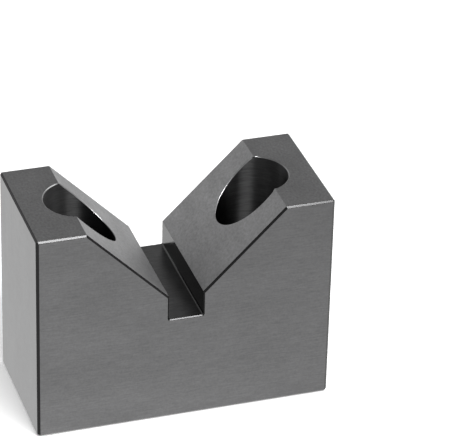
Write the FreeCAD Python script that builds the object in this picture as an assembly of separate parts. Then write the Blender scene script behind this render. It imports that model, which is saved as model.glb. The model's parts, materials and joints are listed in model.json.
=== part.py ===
"""Steel V block: one solid with a V across its top, a relief slot at the foot of the V, and two
counterbored screw holes that run down through the lands and flanks.

Millimetres. The origin is the middle of the base; X runs across the V, Y along it, Z up.
"""
import FreeCAD, Part
import math
import os

from FreeCAD import Vector

# Body
width = 85.0             # across the V
depth = 40.0             # along the V
height = 63.0            # from the base to the lands

# V and relief slot
v_angle = 90.0           # degrees between the two flanks
land_width = 14.15       # flat top on each side of the V
relief_width = 10.0      # slot at the foot of the V
relief_depth = 7.45      # from the foot of the flanks down to the slot floor
relief_corner = 0.4      # radius that the cutter leaves along the slot floor

# Screw holes, for M12 socket head cap screws
head_bore = 20.0         # counterbore diameter
head_bore_depth = 33.0   # from the lands down to the seat of the screw head
shank_bore = 13.5        # clearance hole diameter
end_wall = 7.5           # steel left between a counterbore and the end of the block

# Broken edges: the leg of each 45 degree chamfer
upright_chamfer = 0.7    # four upright corners
base_chamfer = 0.7       # around the base
top_chamfer = 0.5        # around the lands and along the ends of the flanks
relief_chamfer = 0.3     # both ends of the slot
rim_chamfer = 0.25       # rims of the counterbores
hole_chamfer = 0.5       # screw holes at the base

# Places that follow from the sizes above
half_width = width / 2
half_depth = depth / 2
half_mouth = half_width - land_width
half_relief = relief_width / 2
flank_rise = (half_mouth - half_relief) / math.tan(math.radians(v_angle / 2))
flank_foot = height - flank_rise
relief_floor = flank_foot - relief_depth
seat_height = height - head_bore_depth
hole_offset = half_width - end_wall - head_bore / 2

TOLERANCE = 1e-4         # for telling whether a point lies on a plane or wall
SAMPLES = 4              # stretches that an edge is tested along


def same(a, b):
    """True where two lengths are the same."""
    return abs(a - b) < TOLERANCE


def edges_where(shape, test):
    """The edges of a shape that pass a test all along their length."""
    found = []
    for edge in shape.Edges:
        first, last = edge.ParameterRange
        step = (last - first) / SAMPLES
        points = [edge.valueAt(first + step * i) for i in range(SAMPLES + 1)]
        if all(test(point) for point in points):
            found.append(edge)
    return found


def profile():
    """Outline across the V: base, ends, lands, flanks and slot, as one closed face."""
    right = [
        (half_relief, relief_floor),
        (half_relief, flank_foot),
        (half_mouth, height),
        (half_width, height),
        (half_width, 0),
    ]
    left = [(-x, z) for x, z in reversed(right)]
    points = [Vector(x, -half_depth, z) for x, z in right + left]
    return Part.Face(Part.makePolygon(points + points[:1]))


def screw_hole(x):
    """Cutter for one screw hole: a wide bore for the head above a narrower one for the shank."""
    head = Part.makeCylinder(head_bore / 2, head_bore_depth, Vector(x, 0, seat_height))
    shank = Part.makeCylinder(shank_bore / 2, seat_height, Vector(x, 0, 0))
    return head.fuse(shank)


def on_bore(point, radius):
    """True on the wall of either screw hole, at the radius given."""
    return same(math.hypot(abs(point.x) - hole_offset, point.y), radius)


def on_end(point):
    """True on the front or back face."""
    return same(abs(point.y), half_depth)


def on_side(point):
    """True on the left or right face."""
    return same(abs(point.x), half_width)


def on_flank(point):
    """True on either flank of the V, from its foot up to the land."""
    drop = (half_mouth - abs(point.x)) / math.tan(math.radians(v_angle / 2))
    return same(point.z, height - drop) and flank_foot - TOLERANCE < point.z


def on_top_edge(point):
    """True on the outer edges of the lands and on the ends of the flanks."""
    if same(point.z, height):
        return on_end(point) or on_side(point) or on_upright(point)
    return on_end(point) and on_flank(point)


def on_upright(point):
    """True on the chamfers of the four upright corners."""
    inset = half_width - abs(point.x) + half_depth - abs(point.y)
    return same(inset, upright_chamfer)


def on_outline(point):
    """True on the outer walls: ends, sides and the chamfered corners between them."""
    return on_end(point) or on_side(point) or on_upright(point)


def in_relief(point):
    """True on the walls and floor of the slot."""
    return abs(point.x) < half_relief + TOLERANCE and point.z < flank_foot + TOLERANCE


def v_block():
    """The whole block, with its corners rounded and its edges broken."""
    block = profile().extrude(Vector(0, depth, 0))
    for side in (-1, 1):
        block = block.cut(screw_hole(side * hole_offset))

    def relief_corners(point):
        return same(abs(point.x), half_relief) and same(point.z, relief_floor)

    def rims(point):
        return on_bore(point, head_bore / 2) and point.z > flank_foot

    def hole_mouths(point):
        return on_bore(point, shank_bore / 2) and same(point.z, 0)

    def uprights(point):
        return on_end(point) and on_side(point)

    def base_edges(point):
        return same(point.z, 0) and on_outline(point)

    def relief_ends(point):
        return on_end(point) and in_relief(point) and point.z > TOLERANCE

    block = block.makeFillet(relief_corner, edges_where(block, relief_corners))
    for size, test in (
        (rim_chamfer, rims),
        (hole_chamfer, hole_mouths),
        (upright_chamfer, uprights),
        (base_chamfer, base_edges),
        (top_chamfer, on_top_edge),
        (relief_chamfer, relief_ends),
    ):
        block = block.makeChamfer(size, edges_where(block, test))
    return block


os.makedirs("parts", exist_ok=True)
v_block().exportStep("parts/v_block.step")
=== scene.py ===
"""A low steel V block on a pale studio floor: finely ground faces, a dark milled slot at the foot
of the V with painted shade on its walls, two dark bored screw holes and blackened broken edges.

Metres, in the part's own frame: X across the V, Y along it, Z up from the middle of the base.
"""
import json
import math

import bmesh
import bpy
from mathutils import Matrix, Vector


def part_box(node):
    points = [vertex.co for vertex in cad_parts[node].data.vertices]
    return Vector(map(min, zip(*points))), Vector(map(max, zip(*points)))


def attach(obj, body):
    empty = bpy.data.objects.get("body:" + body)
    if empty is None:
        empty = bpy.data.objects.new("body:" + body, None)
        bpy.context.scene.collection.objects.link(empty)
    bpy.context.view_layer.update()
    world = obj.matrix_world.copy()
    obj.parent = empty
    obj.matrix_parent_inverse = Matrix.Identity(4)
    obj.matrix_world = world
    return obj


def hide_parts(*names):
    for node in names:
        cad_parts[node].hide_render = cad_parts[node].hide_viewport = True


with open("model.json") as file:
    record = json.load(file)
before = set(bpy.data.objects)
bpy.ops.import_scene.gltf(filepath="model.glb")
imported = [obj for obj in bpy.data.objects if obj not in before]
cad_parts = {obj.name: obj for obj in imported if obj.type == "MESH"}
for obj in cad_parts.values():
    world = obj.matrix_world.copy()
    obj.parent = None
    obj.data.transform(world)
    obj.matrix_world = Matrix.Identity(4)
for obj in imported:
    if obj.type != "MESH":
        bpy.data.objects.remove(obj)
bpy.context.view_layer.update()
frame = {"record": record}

MM = 0.001

# Sizes of the block, from its box and its mounts
low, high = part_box("v_block")
mounts = {mount["name"]: mount for mount in frame["record"]["mounts"]}
counterbore = mounts["right_counterbore"]
flank = mounts["right_flank"]

width = high.x - low.x
depth = high.y - low.y
height = high.z - low.z
half_width = width / 2
half_depth = depth / 2
v_apex = flank["pos_m"][2] - flank["pos_m"][0]
half_mouth = height - v_apex
hole_offset = counterbore["pos_m"][0]
head_radius = counterbore["dims"]["r_mm"] * MM
seat_height = counterbore["pos_m"][2] - counterbore["dims"]["length_mm"] * MM / 2
shank_radius = mounts["screw_holes"]["dims"]["hole_r_mm"] * MM

# Slot at the foot of the V
slot_width = 10.0 * MM
slot_floor = 32.2 * MM
slot_corner = 0.4 * MM
half_slot = slot_width / 2
flank_foot = v_apex + half_slot

# Broken edges: the leg of each chamfer
upright_chamfer = 0.7 * MM
base_chamfer = 0.7 * MM
top_chamfer = 0.5 * MM
slot_chamfer = 0.3 * MM
rim_chamfer = 0.25 * MM
hole_chamfer = 0.5 * MM
edge_softness = 0.05 * MM

NEAR = 0.002 * MM        # for telling whether a point lies on a plane or wall
WALL_SIDES = 120
SOFT_ANGLE = 30          # degrees: sharper edges than this are softened
ALIKE = 0.6              # cosine up to which two faces at a point count as one surface
STEEL_TINT = (1.0, 1.0, 1.01)
SEEN_LIFT = 0.25         # light that the floor adds so that it looks white


# ---------------------------------------------------------------- node helpers

def add(tree, kind, values=None, **settings):
    """A new node with its settings, and plain values on its inputs."""
    made = tree.nodes.new(kind)
    for name, value in settings.items():
        setattr(made, name, value)
    for name, value in (values or {}).items():
        made.inputs[name].default_value = value
    return made


def join(tree, *pairs):
    """Links each pair of (output socket, input socket)."""
    for source, target in pairs:
        tree.links.new(source, target)


def maths(tree, operation, *terms):
    """A Math node whose terms are sockets or plain numbers. Returns its output."""
    made = add(tree, "ShaderNodeMath", operation=operation)
    for socket, term in zip(made.inputs, terms):
        if isinstance(term, (int, float)):
            socket.default_value = term
        else:
            tree.links.new(term, socket)
    return made.outputs[0]


# ---------------------------------------------------------------- shape of the block

def block_tree():
    """Geometry tree of the bare block: a box, less the V, the slot and a row of screw holes."""
    tree = bpy.data.node_groups.new("v block body", "GeometryNodeTree")
    sockets = tree.interface
    sockets.new_socket("Geometry", in_out="OUTPUT", socket_type="NodeSocketGeometry")
    names = ("Width", "Depth", "Height", "Half mouth", "Slot width", "Slot floor",
             "Hole offset", "Head radius", "Seat height", "Shank radius")
    for name in names:
        sockets.new_socket(name, in_out="INPUT", socket_type="NodeSocketFloat")
    sockets.new_socket("Wall sides", in_out="INPUT", socket_type="NodeSocketInt")
    sockets.new_socket("Finish", in_out="INPUT", socket_type="NodeSocketMaterial")
    sizes = add(tree, "NodeGroupInput").outputs

    def triple(x, y, z):
        made = add(tree, "ShaderNodeCombineXYZ")
        for socket, term in zip(made.inputs, (x, y, z)):
            if isinstance(term, (int, float)):
                socket.default_value = term
            else:
                tree.links.new(term, socket)
        return made.outputs[0]

    def bar(size, place, turn=0.0):
        """A box of the size given, turned about Y and set in place."""
        box = add(tree, "GeometryNodeMeshCube")
        moved = add(tree, "GeometryNodeTransform", {"Rotation": (0.0, turn, 0.0)})
        join(tree, (size, box.inputs["Size"]), (box.outputs["Mesh"], moved.inputs["Geometry"]),
             (place, moved.inputs["Translation"]))
        return moved.outputs[0]

    def rod(radius, bottom, top):
        """An upright round cutter between two heights."""
        long = maths(tree, "SUBTRACT", top, bottom)
        middle = maths(tree, "MULTIPLY", maths(tree, "ADD", top, bottom), 0.5)
        wall = add(tree, "GeometryNodeMeshCylinder")
        moved = add(tree, "GeometryNodeTransform")
        join(tree, (sizes["Wall sides"], wall.inputs["Vertices"]),
             (radius, wall.inputs["Radius"]), (long, wall.inputs["Depth"]),
             (wall.outputs["Mesh"], moved.inputs["Geometry"]),
             (triple(0.0, 0.0, middle), moved.inputs["Translation"]))
        return moved.outputs[0]

    beyond = maths(tree, "MULTIPLY", sizes["Depth"], 1.5)
    body = bar(triple(sizes["Width"], sizes["Depth"], sizes["Height"]),
               triple(0.0, 0.0, maths(tree, "MULTIPLY", sizes["Height"], 0.5)))

    apex = maths(tree, "SUBTRACT", sizes["Height"], sizes["Half mouth"])
    reach = maths(tree, "MULTIPLY", sizes["Width"], math.sqrt(0.5))
    vee = bar(triple(sizes["Width"], beyond, sizes["Width"]),
              triple(0.0, 0.0, maths(tree, "ADD", apex, reach)), math.radians(45))

    slot_height = maths(tree, "SUBTRACT", sizes["Height"], sizes["Slot floor"])
    half_height = maths(tree, "MULTIPLY", slot_height, 0.5)
    slot_middle = maths(tree, "ADD", sizes["Slot floor"], half_height)
    slot = bar(triple(sizes["Slot width"], beyond, slot_height), triple(0.0, 0.0, slot_middle))

    over = maths(tree, "MULTIPLY", sizes["Height"], 1.1)
    under = maths(tree, "MULTIPLY", sizes["Height"], -0.1)
    lap = maths(tree, "MULTIPLY", sizes["Height"], 0.1)
    inside = maths(tree, "ADD", sizes["Seat height"], lap)
    heads = rod(sizes["Head radius"], sizes["Seat height"], over)
    shanks = rod(sizes["Shank radius"], under, inside)
    left = maths(tree, "MULTIPLY", sizes["Hole offset"], -1.0)
    row = add(tree, "GeometryNodeMeshLine", {"Count": 2}, mode="END_POINTS")
    join(tree, (triple(left, 0.0, 0.0), row.inputs["Start Location"]),
         (triple(sizes["Hole offset"], 0.0, 0.0), row.inputs["Offset"]))

    cut = add(tree, "GeometryNodeMeshBoolean", operation="DIFFERENCE", solver="EXACT")
    join(tree, (body, cut.inputs["Mesh 1"]))
    for cutter in (vee, slot):
        join(tree, (cutter, cut.inputs["Mesh 2"]))
    for cutter in (heads, shanks):
        holes = add(tree, "GeometryNodeInstanceOnPoints")
        whole = add(tree, "GeometryNodeRealizeInstances")
        join(tree, (row.outputs["Mesh"], holes.inputs["Points"]),
             (cutter, holes.inputs["Instance"]),
             (holes.outputs["Instances"], whole.inputs["Geometry"]),
             (whole.outputs["Geometry"], cut.inputs["Mesh 2"]))

    real = add(tree, "GeometryNodeRealizeInstances")
    paint = add(tree, "GeometryNodeSetMaterial")
    out = add(tree, "NodeGroupOutput")
    join(tree, (cut.outputs["Mesh"], real.inputs["Geometry"]),
         (real.outputs["Geometry"], paint.inputs["Geometry"]),
         (sizes["Finish"], paint.inputs["Material"]),
         (paint.outputs["Geometry"], out.inputs["Geometry"]))
    return tree


def settled(piece, name):
    """A plain mesh of a piece with its modifiers worked in; the modifiers are then removed."""
    graph = bpy.context.evaluated_depsgraph_get()
    shape = bpy.data.meshes.new_from_object(piece.evaluated_get(graph), depsgraph=graph)
    shape.name = name
    piece.modifiers.clear()
    piece.data = shape
    return piece


def bare_block(finish):
    """The block with square edges."""
    piece = bpy.data.objects.new("block", bpy.data.meshes.new("block"))
    bpy.context.scene.collection.objects.link(piece)
    tree = block_tree()
    cutting = piece.modifiers.new("body", "NODES")
    cutting.node_group = tree
    values = {
        "Width": width, "Depth": depth, "Height": height, "Half mouth": half_mouth,
        "Slot width": slot_width, "Slot floor": slot_floor, "Hole offset": hole_offset,
        "Head radius": head_radius, "Seat height": seat_height, "Shank radius": shank_radius,
        "Wall sides": WALL_SIDES, "Finish": finish,
    }
    for item in tree.interface.items_tree:
        if item.in_out == "INPUT":
            cutting[item.identifier] = values[item.name]
    return settled(piece, "block")


def off_axis(point):
    """Distance from the axis of the nearer screw hole."""
    return math.hypot(abs(point.x) - hole_offset, point.y)


def on_end(point):
    return abs(abs(point.y) - half_depth) < NEAR


def on_side(point):
    return abs(abs(point.x) - half_width) < NEAR


def on_flank(point):
    return abs(point.z - v_apex - abs(point.x)) < NEAR and point.z > flank_foot - NEAR


def in_slot(point):
    return abs(point.x) < half_slot + NEAR and slot_floor - NEAR < point.z < flank_foot + NEAR


def edge_breaks(a, b):
    """(chamfer, corner radius) of the edge between two points."""
    middle = (a + b) / 2

    def both(test):
        return test(a) and test(b) and test(middle)

    def at(z):
        return abs(a.z - z) < NEAR and abs(b.z - z) < NEAR

    head = abs(off_axis(a) - head_radius) < NEAR and abs(off_axis(b) - head_radius) < NEAR
    shank = abs(off_axis(a) - shank_radius) < NEAR and abs(off_axis(b) - shank_radius) < NEAR
    upright = (a - b).length > NEAR and math.hypot(a.x - b.x, a.y - b.y) < NEAR
    if head and not upright and middle.z > seat_height + 1 * MM:
        return rim_chamfer, 0.0
    if shank and at(0.0):
        return hole_chamfer, 0.0
    if both(on_end) and both(on_side):
        return upright_chamfer, 0.0
    if at(0.0) and (both(on_end) or both(on_side)):
        return base_chamfer, 0.0
    if at(height) and (both(on_end) or both(on_side)):
        return top_chamfer, 0.0
    if both(on_end) and both(on_flank):
        return top_chamfer, 0.0
    if both(on_end) and both(in_slot):
        return slot_chamfer, 0.0
    if at(slot_floor) and abs(abs(middle.x) - half_slot) < NEAR and not both(on_end):
        return 0.0, slot_corner
    return 0.0, 0.0


def break_edges(piece):
    """Rounds the slot's corners, chamfers the outer edges and softens the rest."""
    mesh = piece.data
    points = [vertex.co for vertex in mesh.vertices]
    marks = {"chamfer": [], "corner": []}
    for edge in mesh.edges:
        chamfer, corner = edge_breaks(*(points[i] for i in edge.vertices))
        marks["chamfer"].append(chamfer / upright_chamfer)
        marks["corner"].append(corner / slot_corner)
    for name, values in marks.items():
        mesh.attributes.new(name, "FLOAT", "EDGE").data.foreach_set("value", values)

    rounding = piece.modifiers.new("slot corners", "BEVEL")
    rounding.limit_method = "WEIGHT"
    rounding.edge_weight = "corner"
    rounding.width = slot_corner
    rounding.segments = 4
    chamfering = piece.modifiers.new("chamfers", "BEVEL")
    chamfering.limit_method = "WEIGHT"
    chamfering.edge_weight = "chamfer"
    chamfering.width = upright_chamfer
    chamfering.segments = 1
    chamfering.loop_slide = False
    chamfering.use_clamp_overlap = False
    softening = piece.modifiers.new("soft edges", "BEVEL")
    softening.limit_method = "ANGLE"
    softening.angle_limit = math.radians(SOFT_ANGLE)
    softening.width = edge_softness
    softening.segments = 2
    softening.loop_slide = False
    softening.use_clamp_overlap = False
    return settled(piece, "block")


def to_axis(point):
    """Level direction from a point to the axis of the nearer screw hole."""
    return Vector((math.copysign(hole_offset, point.x) - point.x, -point.y, 0.0)).normalized()


def shade(piece):
    """True normals: flat ground faces, round bores, soft edges that run into the larger face."""
    mesh = piece.data
    names = [material.name for material in mesh.materials]
    around = [[] for _ in mesh.vertices]
    for face in mesh.polygons:
        face.use_smooth = True
        for index in face.vertices:
            around[index].append(face)
    normals = []
    for face in mesh.polygons:
        finish = names[face.material_index]
        for index in face.vertices:
            point = mesh.vertices[index].co
            if finish == "bored steel" and abs(face.normal.z) < 0.5:
                normal = to_axis(point)
            elif finish == "bright rim":
                ring = [other for other in around[index]
                        if other.material_index == face.material_index]
                normal = sum((other.normal for other in ring), Vector()).normalized()
            else:
                near = [other for other in around[index] if other.normal.dot(face.normal) > ALIKE]
                normal = max(near, key=lambda other: other.area).normal
            normals.append(tuple(normal))
    mesh.normals_split_custom_set(normals)


# ---------------------------------------------------------------- finishes

def grain(tree, place, feature):
    """Noise whose features have the lengths given in millimetres along X, Y and Z."""
    lay = add(tree, "ShaderNodeMapping", {"Scale": tuple(1 / (size * MM) for size in feature)})
    noise = add(tree, "ShaderNodeTexNoise", {"Scale": 1.0, "Detail": 3.0, "Roughness": 0.6})
    join(tree, (place, lay.inputs["Vector"]), (lay.outputs["Vector"], noise.inputs["Vector"]))
    return noise.outputs["Fac"]


def steel(name, shade, roughness, layers, bump, bump_feature, rough_spread=0.06):
    """Metal whose shade and roughness vary with several layers of grain.

    layers: (feature lengths in mm, share by which it varies the shade).
    bump: height of the relief in mm; bump_feature: the lengths of its features in mm.
    """
    material = bpy.data.materials.new(name)
    material.use_nodes = True
    tree = material.node_tree
    shader = tree.nodes["Principled BSDF"]
    place = add(tree, "ShaderNodeTexCoord").outputs["Object"]
    factor = None
    for feature, share in layers:
        wave = grain(tree, place, feature)
        swing = maths(tree, "MULTIPLY_ADD", wave, 4 * share, 1 - 2 * share)
        factor = swing if factor is None else maths(tree, "MULTIPLY", factor, swing)
    paint = add(tree, "ShaderNodeVectorMath", operation="SCALE")
    paint.inputs[0].default_value = tuple(shade * part for part in STEEL_TINT)
    gloss = maths(tree, "MULTIPLY_ADD", factor, rough_spread, roughness - rough_spread)
    join(tree, (factor, paint.inputs["Scale"]),
         (paint.outputs["Vector"], shader.inputs["Base Color"]),
         (gloss, shader.inputs["Roughness"]))
    shader.inputs["Metallic"].default_value = 1.0
    relief = add(tree, "ShaderNodeBump", {"Strength": 1.0, "Distance": bump * MM})
    ridges = grain(tree, place, bump_feature)
    join(tree, (ridges, relief.inputs["Height"]),
         (relief.outputs["Normal"], shader.inputs["Normal"]))
    return material


def bored_steel():
    """Blackened bore wall: fine rings from the boring bar, which spread light up and down."""
    material = steel("bored steel", 0.045, 0.50,
                     (((3.0, 3.0, 0.25), 0.26), ((9.0, 9.0, 0.9), 0.18)),
                     bump=0.004, bump_feature=(4.0, 4.0, 0.3))
    tree = material.node_tree
    shader = tree.nodes["Principled BSDF"]
    place = add(tree, "ShaderNodeTexCoord").outputs["Object"]
    parts = add(tree, "ShaderNodeSeparateXYZ")
    join(tree, (place, parts.inputs[0]))
    x = maths(tree, "MULTIPLY", parts.outputs["X"], 1 / MM)
    y = maths(tree, "MULTIPLY", parts.outputs["Y"], 1 / MM)
    side = maths(tree, "SIGN", x)
    off = maths(tree, "SUBTRACT", x, maths(tree, "MULTIPLY", side, hole_offset / MM))
    around = add(tree, "ShaderNodeCombineXYZ")
    join(tree, (maths(tree, "MULTIPLY", y, -1.0), around.inputs["X"]), (off, around.inputs["Y"]))
    unit = add(tree, "ShaderNodeVectorMath", operation="NORMALIZE")
    join(tree, (around.outputs[0], unit.inputs[0]), (unit.outputs[0], shader.inputs["Tangent"]))
    shader.inputs["Anisotropic"].default_value = 0.98
    shader.inputs["Anisotropic Rotation"].default_value = 0.25
    return material


def finishes():
    """The block's finishes, by the part of the surface that they cover; the sides and slot walls
    carry painted shade and the flanks painted light in their shades.
    """
    return {
        "ends": steel("ground end", 0.165, 0.30,
                      (((5.0, 1.0, 0.4), 0.14), ((30.0, 1.0, 12.0), 0.08),
                       ((0.6, 0.6, 0.6), 0.10)),
                      bump=0.003, bump_feature=(6.0, 1.0, 0.5)),
        # painted shade: the ground sides get a darker shade (0.125) than the ends, lands and base
        "sides": steel("ground side with painted shade", 0.125, 0.30,
                       (((1.0, 2.5, 2.5), 0.16), ((1.0, 9.0, 22.0), 0.16),
                        ((0.8, 1.6, 0.8), 0.16)),
                       bump=0.003, bump_feature=(1.0, 1.6, 3.0)),
        "lands": steel("ground land", 0.165, 0.30,
                       (((0.6, 0.9, 1.0), 0.26), ((8.0, 14.0, 8.0), 0.12)),
                       bump=0.003, bump_feature=(0.7, 1.0, 1.0)),
        # painted light: the ground flanks get a lighter shade (0.245) than the ends, lands and
        # base
        "flanks": steel("ground flank with painted light", 0.245, 0.54,
                        (((0.7, 0.9, 0.7), 0.20), ((6.0, 14.0, 6.0), 0.12)),
                        bump=0.003, bump_feature=(0.7, 1.2, 0.7)),
        "base": steel("ground base", 0.165, 0.30,
                      (((9.0, 0.4, 1.0), 0.08), ((25.0, 12.0, 1.0), 0.06)),
                      bump=0.003, bump_feature=(9.0, 0.5, 1.0)),
        "slot floor": steel("milled slot floor", 0.065, 0.30,
                            (((2.5, 0.5, 0.5), 0.26), ((4.0, 9.0, 4.0), 0.16)),
                            bump=0.005, bump_feature=(3.0, 0.6, 1.0)),
        # painted shade: the slot walls get a far darker shade (0.017) than the slot floor of the
        # same milled finish
        "slot walls": steel("milled slot wall with painted shade", 0.017, 0.20,
                            (((0.5, 1.4, 0.5), 0.14), ((4.0, 9.0, 4.0), 0.10)),
                            bump=0.003, bump_feature=(1.0, 3.0, 0.5)),
        "bores": bored_steel(),
        "rims": steel("bright rim", 0.22, 0.30,
                      (((1.5, 1.5, 1.5), 0.12), ((7.0, 7.0, 7.0), 0.12)),
                      bump=0.002, bump_feature=(1.0, 1.0, 1.0)),
        "edges": steel("blackened edge", 0.024, 0.22,
                       (((1.2, 1.2, 1.2), 0.02), ((12.0, 12.0, 12.0), 0.05)), rough_spread=0.02,
                       bump=0.0006, bump_feature=(6.0, 6.0, 6.0)),
    }


def part_of_surface(centre, normal):
    """Which finish covers a face."""
    flat = 0.9999
    if abs(normal.y) > flat and on_end(centre):
        return "ends"
    if abs(normal.x) > flat and on_side(centre):
        return "sides"
    if normal.z < -flat and abs(centre.z) < NEAR:
        return "base"
    if normal.z > flat and abs(centre.z - height) < NEAR:
        return "lands"
    if abs(abs(normal.x) - math.sqrt(0.5)) < 0.001 and on_flank(centre):
        return "flanks"
    ridge = math.hypot(abs(centre.x) - half_mouth, centre.z - height) < 2 * edge_softness
    foot = math.hypot(abs(centre.x) - half_slot, centre.z - flank_foot) < 2 * edge_softness
    if (ridge or foot) and abs(normal.y) < 0.1:
        return "flanks"
    if head_radius + NEAR < off_axis(centre) < head_radius + 2 * rim_chamfer \
            and centre.z > flank_foot and abs(centre.y) < head_radius + 2 * rim_chamfer:
        return "rims"
    if off_axis(centre) < head_radius + NEAR:
        return "bores"
    if abs(centre.x) < half_slot + NEAR and slot_floor - NEAR < centre.z < flank_foot - 0.1 * MM \
            and abs(centre.y) < half_depth - slot_chamfer + NEAR:
        return "slot walls" if abs(normal.z) < 0.1 else "slot floor"
    return "edges"


def dress(piece, skins):
    """Gives every face of the block its finish."""
    names = list(skins)
    piece.data.materials.clear()
    for name in names:
        piece.data.materials.append(skins[name])
    for face in piece.data.polygons:
        face.material_index = names.index(part_of_surface(face.center, face.normal))


def block():
    skins = finishes()
    piece = break_edges(bare_block(skins["ends"]))
    dress(piece, skins)
    shade(piece)
    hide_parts("v_block")
    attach(piece, "root")
    return piece


# ---------------------------------------------------------------- studio

def floor():
    """Wide pale floor: it looks white, keeps the block's shadow and shows in steel as a painted
    glow, brighter nearer the block and to the left.
    """
    mesh = bpy.data.meshes.new("floor")
    work = bmesh.new()
    bmesh.ops.create_grid(work, x_segments=1, y_segments=1, size=4.0)
    work.to_mesh(mesh)
    work.free()
    piece = bpy.data.objects.new("floor", mesh)
    bpy.context.scene.collection.objects.link(piece)
    material = bpy.data.materials.new("pale floor")
    material.use_nodes = True
    tree = material.node_tree
    tree.nodes.clear()
    ray = add(tree, "ShaderNodeLightPath")
    matt = add(tree, "ShaderNodeBsdfDiffuse", {"Color": (0.8, 0.8, 0.8, 1.0)})
    lift = add(tree, "ShaderNodeEmission", {"Strength": SEEN_LIFT})
    seen = add(tree, "ShaderNodeAddShader")
    white = add(tree, "ShaderNodeEmission")
    place = add(tree, "ShaderNodeTexCoord").outputs["Object"]
    parts = add(tree, "ShaderNodeSeparateXYZ")
    # painted reflection: for glossy rays the floor glows brighter nearer the block and to the
    # left
    nearer = add(tree, "ShaderNodeMapRange", {
        "From Min": -0.12, "From Max": -0.02, "To Min": 0.95, "To Max": 1.10})
    lefter = add(tree, "ShaderNodeMapRange", {
        "From Min": -0.05, "From Max": 0.06, "To Min": 1.10, "To Max": 0.95})
    join(tree, (place, parts.inputs[0]), (parts.outputs["Y"], nearer.inputs["Value"]),
         (parts.outputs["X"], lefter.inputs["Value"]))
    level = maths(tree, "MULTIPLY", nearer.outputs[0], lefter.outputs[0])
    join(tree, (level, white.inputs["Strength"]))
    pick = add(tree, "ShaderNodeMixShader")
    out = add(tree, "ShaderNodeOutputMaterial")
    join(tree, (matt.outputs[0], seen.inputs[0]), (lift.outputs[0], seen.inputs[1]),
         (ray.outputs["Is Glossy Ray"], pick.inputs[0]),
         (seen.outputs[0], pick.inputs[1]), (white.outputs[0], pick.inputs[2]),
         (pick.outputs[0], out.inputs["Surface"]))
    mesh.materials.append(material)
    return piece


def surroundings():
    """White studio: bright low down, softer overhead, and plain white where it is seen itself."""
    world = bpy.data.worlds.new("studio")
    bpy.context.scene.world = world
    world.use_nodes = True
    tree = world.node_tree
    tree.nodes.clear()
    direction = add(tree, "ShaderNodeTexCoord").outputs["Generated"]
    parts = add(tree, "ShaderNodeSeparateXYZ")
    ramp = add(tree, "ShaderNodeValToRGB")
    stops = ((0.0, 1.05), (0.28, 1.0), (0.52, 0.50), (0.85, 0.30))
    while len(ramp.color_ramp.elements) < len(stops):
        ramp.color_ramp.elements.new(0.5)
    for element, (place, level) in zip(ramp.color_ramp.elements, stops):
        element.position = place
        element.color = (level, level, level, 1.0)
    around = add(tree, "ShaderNodeBackground")
    white = add(tree, "ShaderNodeBackground", {"Strength": 1.0, "Color": (1.0, 1.0, 1.0, 1.0)})
    ray = add(tree, "ShaderNodeLightPath")
    pick = add(tree, "ShaderNodeMixShader")
    out = add(tree, "ShaderNodeOutputWorld")
    join(tree, (direction, parts.inputs[0]), (parts.outputs["Z"], ramp.inputs["Fac"]),
         (ramp.outputs["Color"], around.inputs["Color"]),
         (ray.outputs["Is Camera Ray"], pick.inputs[0]),
         (around.outputs[0], pick.inputs[1]), (white.outputs[0], pick.inputs[2]),
         (pick.outputs[0], out.inputs["Surface"]))


def bearing(azimuth, elevation):
    """Unit vector for an azimuth from +X towards +Y and an elevation, in degrees."""
    turn, rise = math.radians(azimuth), math.radians(elevation)
    reach = math.cos(rise)
    return Vector((math.cos(turn) * reach, math.sin(turn) * reach, math.sin(rise)))


def softbox(name, azimuth, elevation, distance, wide, tall, radiance):
    """Rectangular lamp that faces the block."""
    lamp = bpy.data.lights.new(name, "AREA")
    lamp.shape = "RECTANGLE"
    lamp.size = wide
    lamp.size_y = tall
    lamp.energy = radiance * math.pi * wide * tall
    piece = bpy.data.objects.new(name, lamp)
    bpy.context.scene.collection.objects.link(piece)
    away = bearing(azimuth, elevation)
    piece.location = Vector((0.0, 0.0, height * 0.8)) + away * distance
    piece.rotation_euler = away.to_track_quat("Z", "Y").to_euler()
    return piece


def camera(aim, distance, azimuth, elevation, roll, lens):
    """Camera that looks at a point. Azimuth is from +Y towards +X; roll lifts the right side."""
    turn, rise, lean = (math.radians(angle) for angle in (azimuth, elevation, roll))
    reach = math.cos(rise)
    ahead = Vector((math.sin(turn) * reach, math.cos(turn) * reach, -math.sin(rise)))
    level = ahead.cross(Vector((0.0, 0.0, 1.0))).normalized()
    plumb = level.cross(ahead)
    right = level * math.cos(lean) + plumb * math.sin(lean)
    up = plumb * math.cos(lean) - level * math.sin(lean)
    data = bpy.data.cameras.new("camera")
    data.lens = lens
    data.sensor_width = 36.0
    data.clip_start = 0.01
    data.clip_end = 50.0
    piece = bpy.data.objects.new("camera", data)
    bpy.context.scene.collection.objects.link(piece)
    pose = Matrix((right, up, -ahead)).transposed().to_4x4()
    pose.translation = aim - ahead * distance
    piece.matrix_world = pose
    bpy.context.scene.camera = piece
    return piece


block()
floor()
surroundings()
softbox("key strip", azimuth=-81, elevation=55, distance=1.1, wide=0.56, tall=0.12, radiance=60)
softbox("side box", azimuth=0, elevation=45, distance=1.0, wide=0.9, tall=0.6, radiance=3)
camera(aim=Vector((19.714, 3.370, 47.661)) * MM, distance=859.783 * MM,
       azimuth=18.705, elevation=30.487, roll=1.601, lens=239.56)

scene = bpy.context.scene
scene.view_settings.view_transform = "Standard"
